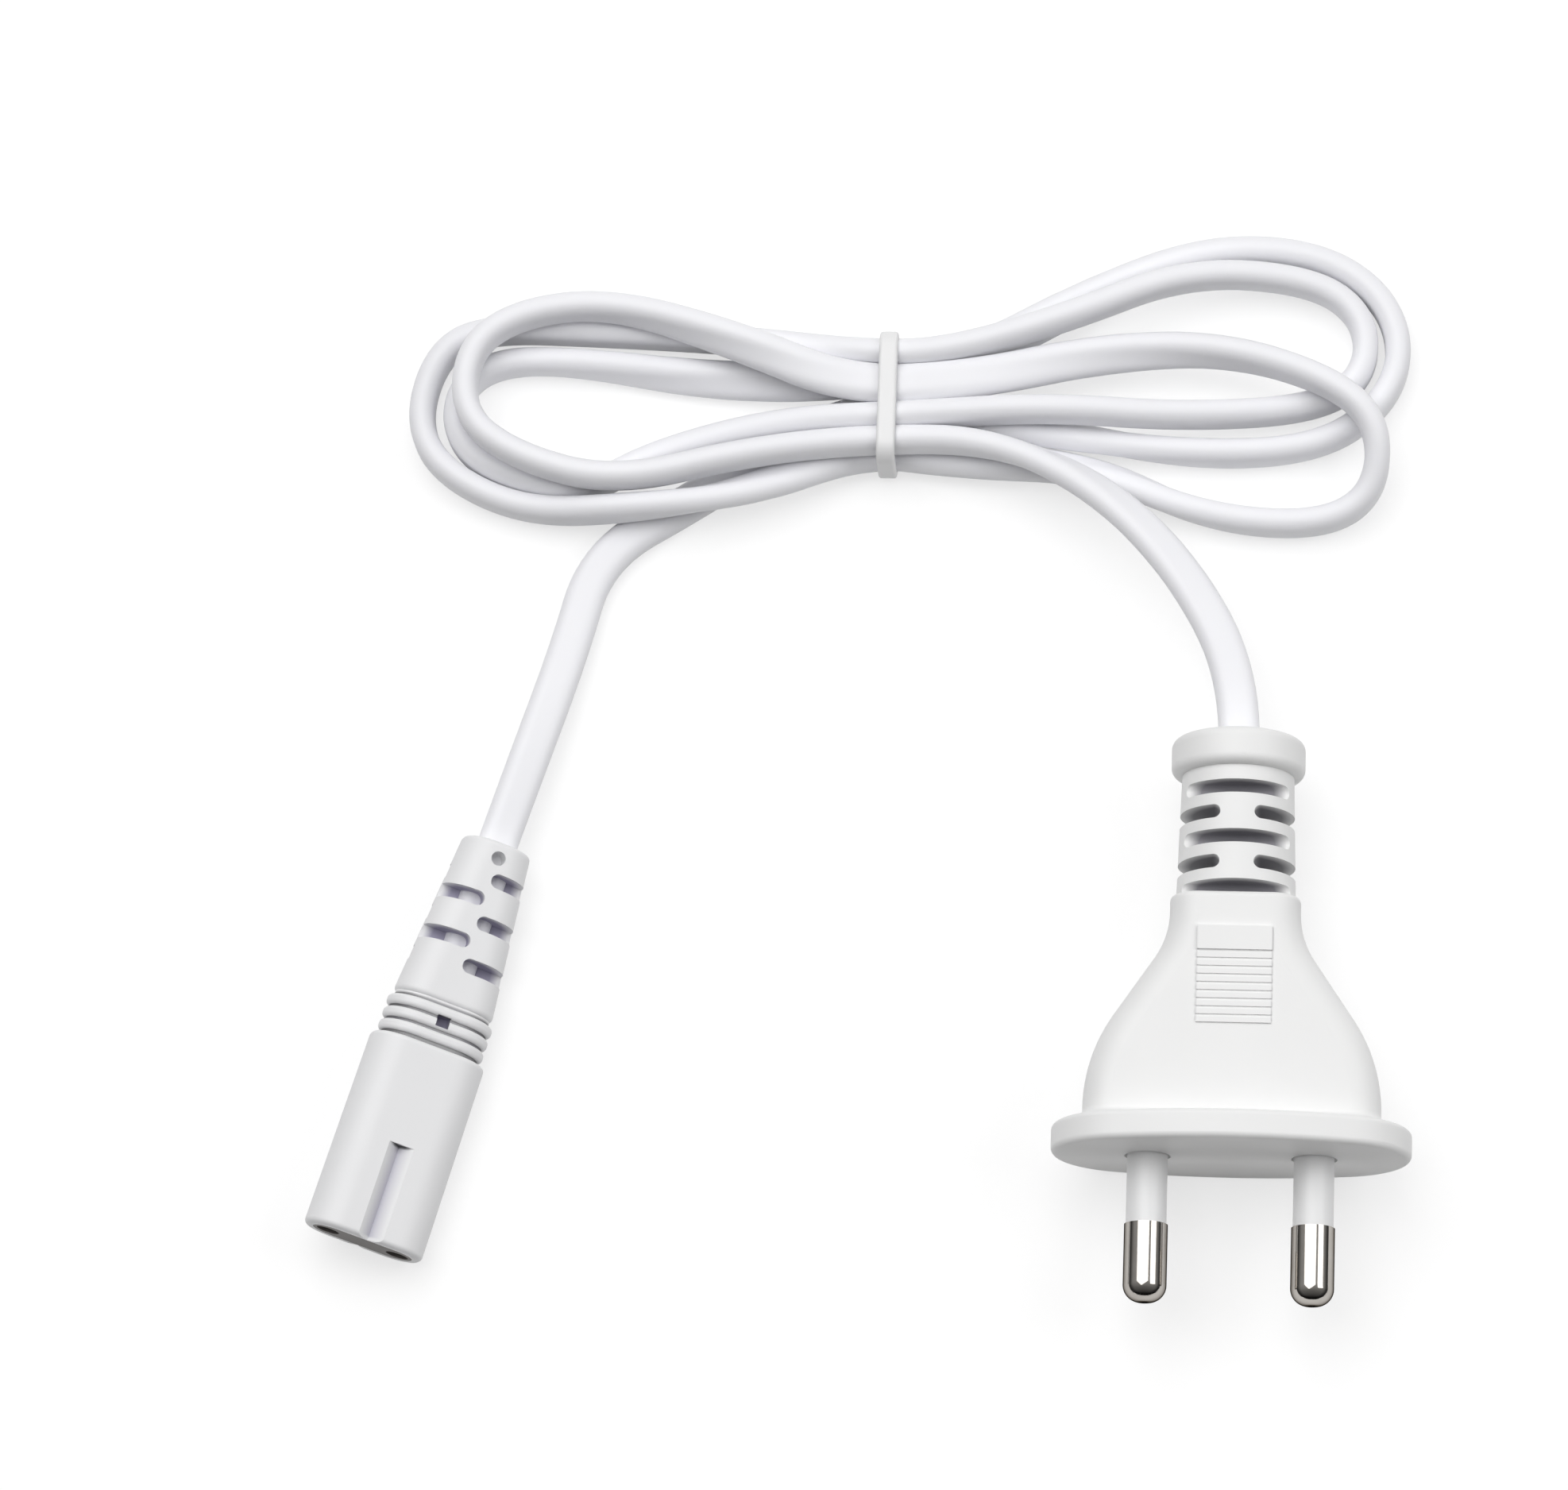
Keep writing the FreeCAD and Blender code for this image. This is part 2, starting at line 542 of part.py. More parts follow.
conn_outer = fuse("ConnectorOuter", [front_done, waist, *rings, tail_slotted])


def groove_outline(side):
    """A valley between two round shoulders, open above the block's face."""
    top, wide, deep = side * S["conn_high"] / 2, S["groove_wide"] / 2, side * S["groove_deep"]
    swell = S["groove_bulge"] / math.hypot(wide, deep)
    floor, lips = V(0, 0, top - deep), [V(x, 0, top) for x in (-wide, wide)]
    roof = [lip + V(0, 0, deep) for lip in lips]
    mids = [(lip + floor) / 2 + V(math.copysign(deep, -lip.x), 0, side * wide) * swell for lip in lips]
    edges = [Part.Arc(lips[0], mids[0], floor), Part.Arc(floor, mids[1], lips[1]),
             Part.LineSegment(lips[1], roof[1]), Part.LineSegment(roof[1], roof[0]),
             Part.LineSegment(roof[0], lips[0])]
    return Part.Wire([edge.toShape() for edge in edges])


grooves = [extrusion(f"Groove{name}", groove_outline(side), V(0, 1, 0), D["groove_len"])
           for name, side in (("Top", 1), ("Under", -1))]
conn_inside = fuse("ConnectorInside", [insert_block, *contacts.values(), *conn_cores.values(),
                                       *conn_wires.values(), conn_cord])
conn_room = fuse("ConnectorRoom", [conn_inside, rib_hole, *grooves])
conn_body = cut("connector_body", conn_outer, conn_room)


# hank, tie and leads, drawn where they lie

HANK_OUTER = [(-48.0, 83.5), (-36.0, 83.5), (-16.0, 94.0), (-3.0, 101.5), (16.0, 99.5), (23.0, 86.0),
              (18.5, 67.0), (14.0, 58.5), (0.0, 56.5), (-20.0, 66.5), (-36.0, 68.3), (-49.0, 68.3),
              (-68.0, 61.5), (-82.0, 58.5), (-97.0, 64.0), (-103.0, 76.0), (-97.0, 88.5), (-82.0, 90.5),
              (-66.0, 88.5)]
HOLE_RIGHT = [(-14.0, 80.0), (6.0, 79.5), (11.5, 72.0), (8.0, 64.0), (-6.0, 65.5), (-19.0, 72.5)]
HOLE_LEFT = [(-66.0, 74.5), (-78.0, 77.5), (-92.0, 75.5), (-88.0, 69.0), (-76.0, 68.5), (-65.0, 71.5)]

plug_place = FreeCAD.Placement(V(0, (S["pin_reach"] - S["plug_len"]) / 2, S["flange_high"] / 2),
                               FreeCAD.Rotation())
# the cord's own twist holds the connector rolled on to the lower edge of its front block
side_round, roll = S["conn_high"] / 2 - S["side_land"], math.radians(S["conn_roll"])
conn_rest = side_round + (S["front_wide"] / 2 - side_round) * math.sin(roll) + S["side_land"] * math.cos(roll)
conn_pose = FreeCAD.Rotation(V(0, 0, 1), S["conn_turn"]) * FreeCAD.Rotation(V(0, 1, 0), S["conn_roll"])
conn_place = FreeCAD.Placement(V(S["conn_x"], S["conn_y"], conn_rest), conn_pose)
home = FreeCAD.Placement()
PLUG_LEAD = [plug_place.multVec(V(0, S["plug_len"], 0)), (0.0, 41.4, 11.0), (-6.9, 54.9, 8.8),
             (-16.9, 65.3, 7.3)]
CONNECTOR_LEAD = [conn_place.multVec(V(0, S["conn_len"], 0)), (-84.4, 28.2, 4.9), (-79.5, 45.3, 2.7),
                  (-76.7, 57.5, 2.0), (-65.0, 64.7, 2.0)]


def tie_ring(name):
    """A rounded band round the middle of the hank."""
    half, top, wall = S["tie_span"] / 2, S["tie_high"], S["tie_wall"]
    start = S["tie_x"] - S["tie_wide"] / 2

    def band(inset, label):
        low = V(start, S["tie_y"] - half + inset, inset)
        wire = Part.makePolygon([low, low + V(0, 2 * (half - inset), 0),
                                 low + V(0, 2 * (half - inset), top - 2 * inset),
                                 low + V(0, 0, top - 2 * inset), low])
        raw = extrusion(name + label, wire, V(1, 0, 0), D["tie_wide"])
        return fillet(name + label + "Soft", raw, S["tie_round"] - inset, lambda b: b.XLength > 1e-3
                      and b.YLength < 1e-4 and b.ZLength < 1e-4)

    outside = fillet(name + "Edged", band(0.0, "Outer"), S["tie_edge"], lambda b: b.XLength < 1e-4)
    return cut(name, outside, band(wall, "Inner"))


slab = extrusion("HankSlab", loop(HANK_OUTER), V(0, 0, 1), D["hank_high"])
slab_soft = fillet("HankSoft", slab, S["hank_round"], lambda b: b.ZLength < 1e-4)
holes = fuse("HankHoles", [extrusion("HankHoleRight", loop(HOLE_RIGHT), V(0, 0, 1), D["hank_high"]),
                           extrusion("HankHoleLeft", loop(HOLE_LEFT), V(0, 0, 1), D["hank_high"])])
loops = cut("HankLoops", slab_soft, holes)
tie = tie_ring("hank_tie")
tie_gap = doc.addObject("Part::Box", "TieGap")
bind(tie_gap, Length=D["tie_wide"], Width=D["tie_span"] * 2, Height=D["tie_high"] * 2,
     Placement__Base__x=D["tie_x"] - D["tie_wide"] / 2, Placement__Base__y=D["tie_y"] - D["tie_span"],
     Placement__Base__z=-D["tie_high"] / 2)
gap_ring = cut("TieGapRing", tie_gap, doc.getObject("hank_tieInnerSoft"))
hank = cut("cord_hank", loops, gap_ring)
plug_lead_tube = tube("PlugLeadTube", PLUG_LEAD, flat_section(plug_place, S["plug_len"]))
conn_lead_tube = tube("ConnectorLeadTube", CONNECTOR_LEAD, flat_section(conn_place, S["conn_len"]))
doc.recompute()
plug_lead = cut("lead_plug", plug_lead_tube, slab)
conn_lead = cut("lead_connector", conn_lead_tube, slab)


# placing and writing

PLUG_NODES = [plug_body, carrier, *pins.values(), *sleeves.values(), *cores.values(), *wires.values(),
              cord_end]
CONNECTOR_NODES = [conn_body, insert, *contacts.values(), *conn_cores.values(), *conn_wires.values(),
                   conn_cord]
CORD_NODES = [hank, tie, plug_lead, conn_lead]
doc.recompute()
for obj in doc.Objects:
    if "Invalid" in obj.State or "Error" in obj.State:
        raise RuntimeError(f"{obj.Name} did not build: {obj.State}")

os.makedirs("parts", exist_ok=True)
for nodes, place in ((PLUG_NODES, plug_place), (CONNECTOR_NODES, conn_place), (CORD_NODES, home)):
    for obj in nodes:
        shape = obj.Shape.copy()
        if shape.isNull() or not shape.isValid() or len(shape.Solids) != 1:
            raise RuntimeError(f"{obj.Name} is not one valid solid: {len(shape.Solids)}")
        solid = shape.Solids[0].copy()
        solid.Placement = place.multiply(solid.Placement)
        solid.exportStep(f"parts/{obj.Name}.step")
        box = solid.BoundBox
        print(f"{obj.Name:24s} {solid.Volume:9.1f} mm3  x {box.XMin:7.2f} {box.XMax:7.2f}"
              f"  y {box.YMin:7.2f} {box.YMax:7.2f}  z {box.ZMin:6.2f} {box.ZMax:6.2f}")
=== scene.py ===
"""Looks of a two-pin mains plug with a tied flat cord and a figure-8 connector.

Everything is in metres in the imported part's frame: the plug's axis runs along Y with the
pins towards -Y, X runs across the pins, and the table is at Z = 0.
"""

import logging
import math
from dataclasses import dataclass
from enum import Enum
from typing import ClassVar, Mapping, Union

import bpy
from mathutils import Matrix, Vector


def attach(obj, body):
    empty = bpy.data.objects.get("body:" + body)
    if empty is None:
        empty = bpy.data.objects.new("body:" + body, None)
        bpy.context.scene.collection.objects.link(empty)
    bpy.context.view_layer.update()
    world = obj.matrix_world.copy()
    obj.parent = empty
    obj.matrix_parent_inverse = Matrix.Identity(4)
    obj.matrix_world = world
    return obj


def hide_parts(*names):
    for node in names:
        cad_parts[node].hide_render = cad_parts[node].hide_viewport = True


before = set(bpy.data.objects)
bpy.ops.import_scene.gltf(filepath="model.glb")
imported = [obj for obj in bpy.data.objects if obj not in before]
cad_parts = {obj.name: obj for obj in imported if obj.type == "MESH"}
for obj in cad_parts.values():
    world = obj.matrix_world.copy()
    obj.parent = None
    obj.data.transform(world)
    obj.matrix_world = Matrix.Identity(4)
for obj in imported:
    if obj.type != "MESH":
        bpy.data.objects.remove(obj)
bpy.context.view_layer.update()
MM = 0.001
PER_MM = 1.0 / MM
SOFT_EDGE_PER_MM = 4.0  # a shaded area's ends fade over a quarter of a millimetre
LOG = logging.getLogger("cord_set")

Colour = tuple[float, float, float]
Operand = Union["Signal", float]


def opaque(colour: Colour) -> tuple[float, float, float, float]:
    """A colour as the four numbers that a colour socket takes."""
    return (*colour, 1.0)


class Signal:
    """A node's output socket that takes part in Python arithmetic."""

    def __init__(self, graph: "Graph", socket: bpy.types.NodeSocket) -> None:
        """Keeps the socket and the graph that new Math nodes go into."""
        self.graph = graph
        self.socket = socket

    def _math(self, operation: str, first: Operand, second: Operand) -> "Signal":
        """Adds one Math node.

        Args:
            operation: Blender's name of the operation.
            first: the left operand.
            second: the right operand.

        Returns:
            The node's result.
        """
        return self.graph.node("ShaderNodeMath", {"operation": operation}, {0: first, 1: second})

    def __add__(self, other: Operand) -> "Signal":
        """Sum with a value or a number."""
        return self._math("ADD", self, other)

    def __radd__(self, other: Operand) -> "Signal":
        """Sum with a number on the left."""
        return self._math("ADD", other, self)

    def __sub__(self, other: Operand) -> "Signal":
        """Difference with a value or a number."""
        return self._math("SUBTRACT", self, other)

    def __rsub__(self, other: Operand) -> "Signal":
        """Difference from a number on the left."""
        return self._math("SUBTRACT", other, self)

    def __mul__(self, other: Operand) -> "Signal":
        """Product with a value or a number."""
        return self._math("MULTIPLY", self, other)

    def __rmul__(self, other: Operand) -> "Signal":
        """Product with a number on the left."""
        return self._math("MULTIPLY", other, self)

    def at_most(self, other: Operand) -> "Signal":
        """The smaller of two values."""
        return self._math("MINIMUM", self, other)

    def at_least(self, other: Operand) -> "Signal":
        """The larger of two values."""
        return self._math("MAXIMUM", self, other)

    def magnitude(self) -> "Signal":
        """The value without its sign."""
        return self.at_least(self * -1.0)

    def share(self) -> "Signal":
        """The value kept between 0 and 1."""
        return self.at_least(0.0).at_most(1.0)

    def swing(self, reach: float) -> "Signal":
        """The value's swing about one half, with a given reach."""
        return (self - 0.5) * reach

    def root(self) -> "Signal":
        """The square root of the value."""
        return self._math("POWER", self, 0.5)


class Graph:
    """The node tree of one material or of the world."""

    def __init__(self, tree: bpy.types.NodeTree) -> None:
        """Starts from an empty tree."""
        self.tree = tree
        tree.nodes.clear()

    def node(self, kind: str, settings: Mapping | None = None, inputs: Mapping | None = None,
             output: Union[int, str] = 0) -> Signal:
        """Adds a node.

        Args:
            kind: Blender's type name of the node.
            settings: its properties, set first; "stops" are a colour ramp's (place, colour) pairs.
            inputs: a number, a colour or a signal for each socket, by name or index.
            output: which output is returned.

        Returns:
            That output as a signal.
        """
        made = self.tree.nodes.new(kind)
        for name, value in (settings or {}).items():
            if name == "stops":
                elements = made.color_ramp.elements
                while len(elements) < len(value):
                    elements.new(1.0)
                for element, (place, colour) in zip(elements, value):
                    element.position, element.color = place, opaque(colour)
            else:
                setattr(made, name, value)
        for key, value in (inputs or {}).items():
            socket = made.inputs[key]
            if isinstance(value, Signal):
                self.tree.links.new(value.socket, socket)
            else:
                socket.default_value = value
        return Signal(self, made.outputs[output]) if made.outputs else Signal(self, None)

    def place(self) -> Signal:
        """The point of the surface in the part's frame, in metres."""
        return self.node("ShaderNodeTexCoord", output="Object")

    def noise(self, vector: Signal, size_mm: float, detail: float = 2.0) -> Signal:
        """Cloudy noise from 0 to 1.

        Args:
            vector: where it is read, in metres.
            size_mm: the size of one cloud.
            detail: how many finer layers it has.

        Returns:
            The noise value.
        """
        return self.node("ShaderNodeTexNoise", None,
                         {"Vector": vector, "Scale": 1.0 / (size_mm * MM), "Detail": detail})

    def stretched(self, vector: Signal, scale: tuple[float, float, float]) -> Signal:
        """The same place with its axes stretched, for lines along one axis."""
        return self.node("ShaderNodeMapping", {"vector_type": "POINT"}, {"Vector": vector, "Scale": scale})

    def parts(self, vector: Signal) -> tuple[Signal, Signal, Signal]:
        """The X, Y and Z of a vector."""
        split = self.node("ShaderNodeSeparateXYZ", None, {0: vector}).socket.node
        return tuple(Signal(self, socket) for socket in split.outputs)

    def blend(self, share: Signal, first: Union[Signal, Colour], second: Colour) -> Signal:
        """Mixes two colours; the Mix node's colour sockets have no names of their own, so they go by index.

        Args:
            share: how much of the second colour, from 0 to 1.
            first: the colour at 0.
            second: the colour at 1.

        Returns:
            The mixed colour.
        """
        base = first if isinstance(first, Signal) else opaque(first)
        return self.node("ShaderNodeMix", {"data_type": "RGBA"}, {0: share, 6: base, 7: opaque(second)}, 2)

    def bump(self, height: Signal, unit_mm: float = 1.0) -> Signal:
        """A normal tilted by a height that counts in a unit of so many millimetres."""
        return self.node("ShaderNodeBump", None,
                         {"Height": height, "Strength": 1.0, "Distance": unit_mm * MM})

    def surface(self, inputs: Mapping) -> None:
        """Closes the tree with one Principled shader on the material's output."""
        shader = self.node("ShaderNodeBsdfPrincipled", None, inputs)
        self.node("ShaderNodeOutputMaterial", None, {"Surface": shader})


def new_graph(name: str) -> tuple[bpy.types.Material, Graph]:
    """A new material with an empty node graph."""
    material = bpy.data.materials.new(name)
    material.use_nodes = True
    return material, Graph(material.node_tree)


@dataclass(frozen=True)
class RecessShade:
    """Painted shade: a bar round an axis of the part; the slots and grooves cut into it are darkened in
    colour by their depth, in place of the shade that falls in them.

    The bar lies along its own Y axis and has flat faces and round sides, in millimetres.
    """

    place: tuple[float, float, float]
    turn: tuple[float, float, float]
    reach: tuple[float, float]
    flat: tuple[float, float]
    radius: tuple[float, float]
    fade: float
    # the painted shade colour at the fade's full depth
    tone: Colour

    def depth(self, graph: Graph, place: Signal) -> Signal:
        """How deep a point of the surface lies in the bar, which sets how much painted shade it takes.

        Args:
            graph: the material's graph.
            place: the point in the part's frame, in metres.

        Returns:
            0 on the bar's skin and beyond its ends, up to 1 at the end of the fade.
        """
        own = graph.node("ShaderNodeMapping", {"vector_type": "TEXTURE"}, {
            "Vector": place, "Location": tuple(v * MM for v in self.place),
            "Rotation": tuple(math.radians(v) for v in self.turn), "Scale": (MM, MM, MM)})
        across, along, up = graph.parts(own)
        start, end = self.reach
        run = ((along - start) * (1.0 / (end - start))).share()
        flat, radius = (first + run * (last - first) for first, last in (self.flat, self.radius))
        beyond = (across.magnitude() - flat).at_least(0.0)
        away = (beyond * beyond + up * up).root()
        within = ((along - start) * SOFT_EDGE_PER_MM).share() * ((end - along) * SOFT_EDGE_PER_MM).share()
        return ((radius - away) * (1.0 / self.fade)).share() * within


@dataclass(frozen=True)
class PartingLine:
    """The fine raised line that the two halves of a mould leave at one height, in millimetres."""

    height: float
    start: float
    wide: float = 0.16
    proud: float = 0.03
    share: float = 0.22
    tone: Colour = (0.27, 0.265, 0.29)

    def line(self, graph: Graph, place: Signal) -> Signal:
        """How much of a point of the surface is the line.

        Args:
            graph: the material's graph.
            place: the point in the part's frame, in metres.

        Returns:
            1 on the line's crest, down to 0 at its edges and in front of its start.
        """
        _, along, up = graph.parts(place)
        crest = 1.0 - (up * PER_MM - self.height).magnitude() * (2.0 / self.wide)
        return crest.share() * ((along * PER_MM - self.start) * SOFT_EDGE_PER_MM).share()


@dataclass(frozen=True)
class PadFootShade:
    """A fine painted shade line at the foot of the two sides of a raised pad, in millimetres."""

    half_wide: float
    reach: tuple[float, float]
    wide: float = 0.34
    proud: float = -0.02
    share: float = 0.2
    tone: Colour = (0.27, 0.265, 0.29)

    def line(self, graph: Graph, place: Signal) -> Signal:
        """How much of a point of the surface is the line.

        Args:
            graph: the material's graph.
            place: the point in the part's frame, in metres.

        Returns:
            1 in the middle of the line, down to 0 at its edges and beyond the pad's ends.
        """
        across, along, _ = graph.parts(place)
        start, end = self.reach
        crest = 1.0 - (across.magnitude() * PER_MM - self.half_wide).magnitude() * (2.0 / self.wide)
        after, before = along * PER_MM - start, end - along * PER_MM
        return crest.share() * (after * SOFT_EDGE_PER_MM).share() * (before * SOFT_EDGE_PER_MM).share()


@dataclass(frozen=True)
class Moulding:
    """A moulded plastic with the fine grain of a spark-worked mould."""

    name: str
    colour: Colour
    shade: Colour
    roughness: float
    grain_mm: float = 0.22
    grain_depth_mm: float = 0.006
    cloud_mm: float = 9.0
    cloud_detail: float = 3.0
    cloud_swing: float = 0.12
    grain_swing: float = 0.1
    softness: float = 0.02
    soft_mm: float = 0.8
    soft_reach: Colour = (0.9, 0.8, 0.75)
    gloss: float = 0.5
    # painted shade in slots and grooves, by depth
    recess_shades: tuple[RecessShade, ...] = ()
    marks: tuple[Union[PartingLine, PadFootShade], ...] = ()

    def material(self) -> bpy.types.Material:
        """The finish as a node material.

        Returns:
            The new material.
        """
        material, graph = new_graph(self.name)
        place = graph.place()
        cloud = graph.noise(place, self.cloud_mm, self.cloud_detail)
        grain = graph.noise(place, self.grain_mm)
        tone = graph.blend(cloud, self.colour, self.shade)
        # painted shade: each recess darkens the colour with depth, in place of the shade that falls there
        for recess_shade in self.recess_shades:
            tone = graph.blend(recess_shade.depth(graph, place), tone, recess_shade.tone)
        height = grain * self.grain_depth_mm
        # the parting line, and the painted shade line at the grip pad's foot, darken the colour along them
        for mark in self.marks:
            line = mark.line(graph, place)
            tone = graph.blend(line * mark.share, tone, mark.tone)
            height = height + line * mark.proud
        graph.surface({
            "Base Color": tone,
            "Roughness": self.roughness + cloud.swing(self.cloud_swing) + grain.swing(self.grain_swing),
            "Normal": graph.bump(height),
            "Specular IOR Level": self.gloss,
            "Subsurface Weight": self.softness,
            "Subsurface Radius": self.soft_reach,
            "Subsurface Scale": self.soft_mm * MM,
        })
        return material


@dataclass(frozen=True)
class Sheath:
    """The extruded cord's soft plastic, with fine die lines along its length."""

    name: str
    colour: Colour
    shade: Colour
    roughness: float
    line_scale: float = 6.0
    line_stretch: tuple[float, float, float] = (14.0, 0.35, 1.0)
    line_detail: float = 3.0
    line_depth_mm: float = 0.01
    line_swing: float = 0.12
    line_share: float = 0.7
    grain_mm: float = 0.3
    cloud_mm: float = 12.0
    cloud_detail: float = 3.0
    cloud_swing: float = 0.1
    softness: float = 0.05
    soft_mm: float = 0.8
    soft_reach: Colour = (0.85, 0.85, 1.0)

    def material(self) -> bpy.types.Material:
        """The finish as a node material that follows the cord's own UV map.

        Returns:
            The new material.
        """
        material, graph = new_graph(self.name)
        place = graph.place()
        along = graph.node("ShaderNodeUVMap", {"uv_map": FlatCord.UV_NAME})
        lines = graph.node("ShaderNodeTexNoise", None, {
            "Vector": graph.stretched(along, self.line_stretch),
            "Scale": self.line_scale, "Detail": self.line_detail})
        cloud = graph.noise(place, self.cloud_mm, self.cloud_detail)
        grain = graph.noise(place, self.grain_mm)
        graph.surface({
            "Base Color": graph.blend(cloud, self.colour, self.shade),
            "Roughness": self.roughness + cloud.swing(self.cloud_swing) + lines.swing(self.line_swing),
            "Normal": graph.bump(lines * self.line_share + grain * (1.0 - self.line_share),
                                 self.line_depth_mm),
            "Subsurface Weight": self.softness,
            "Subsurface Radius": self.soft_reach,
            "Subsurface Scale": self.soft_mm * MM,
        })
        return material


@dataclass(frozen=True)
class Metal:
    """A turned or drawn metal with fine lines round its axis."""

    name: str
    colour: Colour
    shade: Colour
    roughness: float
    line_mm: float = 0.12
    line_stretch: tuple[float, float, float] = (0.06, 1.0, 0.06)
    line_detail: float = 3.0
    line_depth_mm: float = 0.0015
    line_swing: float = 0.08
    smear_mm: float = 2.2
    smear_detail: float = 4.0
    smear_swing: float = 0.1
    # tint of the metal's reflection at grazing angles, towards its edges
    rim_reflection_tint: Colour = (1.0, 1.0, 1.0)

    def material(self) -> bpy.types.Material:
        """The finish as a node material.

        Returns:
            The new material.
        """
        material, graph = new_graph(self.name)
        place = graph.place()
        rings = graph.noise(graph.stretched(place, self.line_stretch), self.line_mm, self.line_detail)
        smear = graph.noise(place, self.smear_mm, self.smear_detail)
        graph.surface({
            "Base Color": graph.blend(smear, self.colour, self.shade),
            "Metallic": 1.0,
            "Specular Tint": opaque(self.rim_reflection_tint),
            "Roughness": self.roughness + rings.swing(self.line_swing) + smear.swing(self.smear_swing),
            "Normal": graph.bump(rings, self.line_depth_mm),
        })
        return material


# where the mouldings' own axes start, in millimetres, and how they are turned, in degrees
PLUG_PLACE = (0.0, -16.2, 11.0)
CONNECTOR_PLACE = (-99.9, -27.2, 5.23)
PLUG_TURN = (0.0, 0.0, 0.0)
CONNECTOR_TURN = (0.0, 20.0, -15.64)
FACE_EDGE = 0.6
PARTING = PartingLine(height=PLUG_PLACE[2], start=PLUG_PLACE[1] + FACE_EDGE)
# painted shade line at the foot of the grip pad's sides
GRIP_FOOT_SHADE = PadFootShade(half_wide=4.3, reach=(-2.1, 9.25))
# painted shade: the plug's slots and the connector's tail slots, front grooves, rib valleys and groove end
# walls are darkened in colour by depth, in place of the shade that falls in them
DARK_SHADE_GREY, SLOT_SHADE_GREY, SLOT_SHADE_LILAC = (0.16, 0.16, 0.165), (0.27, 0.265, 0.29), (0.36, 0.345, 0.45)
PLUG_SLOT_SHADE = RecessShade(PLUG_PLACE, PLUG_TURN, reach=(29.5, 45.2), flat=(0.0, 0.0),
                    radius=(6.6, 6.2), fade=1.2, tone=SLOT_SHADE_GREY)
TAIL_SLOT_SHADE = RecessShade(CONNECTOR_PLACE, CONNECTOR_TURN, reach=(24.6, 46.0), flat=(2.6, 0.66),
                    radius=(3.45, 3.45), fade=1.0, tone=SLOT_SHADE_LILAC)
FRONT_GROOVE_SHADE = RecessShade(CONNECTOR_PLACE, CONNECTOR_TURN, reach=(0.3, 12.2), flat=(3.0, 3.0),
                       radius=(3.95, 3.95), fade=2.2, tone=SLOT_SHADE_LILAC)
RIB_VALLEY_SHADE = RecessShade(CONNECTOR_PLACE, CONNECTOR_TURN, reach=(23.7, 29.15), flat=(2.45, 2.45),
                     radius=(3.58, 3.58), fade=0.24, tone=DARK_SHADE_GREY)
GROOVE_END_SHADE = RecessShade(CONNECTOR_PLACE, CONNECTOR_TURN, reach=(11.25, 12.2), flat=(3.0, 3.0),
                     radius=(3.95, 3.95), fade=0.6, tone=DARK_SHADE_GREY)


class Finish(Enum):
    """The finishes of the object's pieces."""

    PLUG = Moulding("plug_moulding", (0.86, 0.86, 0.855), (0.84, 0.84, 0.838), 0.5, recess_shades=(PLUG_SLOT_SHADE,),
                    marks=(PARTING, GRIP_FOOT_SHADE))
    CONNECTOR = Moulding("connector_moulding", (0.84, 0.84, 0.848), (0.825, 0.825, 0.835), 0.5,
                         recess_shades=(RIB_VALLEY_SHADE, TAIL_SLOT_SHADE, FRONT_GROOVE_SHADE, GROOVE_END_SHADE))
    SLEEVE = Moulding("pin_sleeve", (0.86, 0.86, 0.86), (0.84, 0.84, 0.845), 0.4, 0.3, 0.003)
    TIE = Moulding("tie_plastic", (0.84, 0.84, 0.84), (0.82, 0.82, 0.825), 0.42, 0.3, 0.004)
    INSERT = Moulding("connector_insert", (0.14, 0.125, 0.115), (0.11, 0.1, 0.095), 0.55)
    CARRIER = Moulding("carrier", (0.7, 0.7, 0.68), (0.66, 0.66, 0.64), 0.5)
    BROWN = Moulding("core_brown", (0.13, 0.06, 0.03), (0.11, 0.05, 0.025), 0.4)
    BLUE = Moulding("core_blue", (0.03, 0.12, 0.4), (0.025, 0.1, 0.35), 0.4)
    CORD = Sheath("cord_sheath", (0.89, 0.89, 0.915), (0.875, 0.875, 0.905), 0.5)
    # painted reflection: the near-black rim tint darkens the pins towards their edges, in place of a dark
    # surround reflected there
    NICKEL = Metal("pin_metal", (0.52, 0.5, 0.47), (0.4, 0.37, 0.34), 0.1, rim_reflection_tint=(0.02, 0.02, 0.02))
    COPPER = Metal("copper", (0.72, 0.36, 0.22), (0.6, 0.3, 0.18), 0.3)
    BRASS = Metal("contact_metal", (0.66, 0.55, 0.34), (0.6, 0.49, 0.3), 0.28)

    def slot(self) -> str:
        """The record's material slot of the same name."""
        return self.value.name


class Wardrobe:
    """Makes each finish's material once and puts it on pieces."""

    def __init__(self) -> None:
        """Starts with no material made."""
        self.made: dict[Finish, bpy.types.Material] = {}

    def dress(self, piece: bpy.types.Object, finish: Finish) -> None:
        """Gives a piece one finish over its whole surface.

        Args:
            piece: the object to dress.
            finish: which finish it takes.
        """
        if finish not in self.made:
            self.made[finish] = finish.value.material()
        piece.data.materials.clear()
        piece.data.materials.append(self.made[finish])
        LOG.info("dressed %s with %s", piece.name, finish.slot())


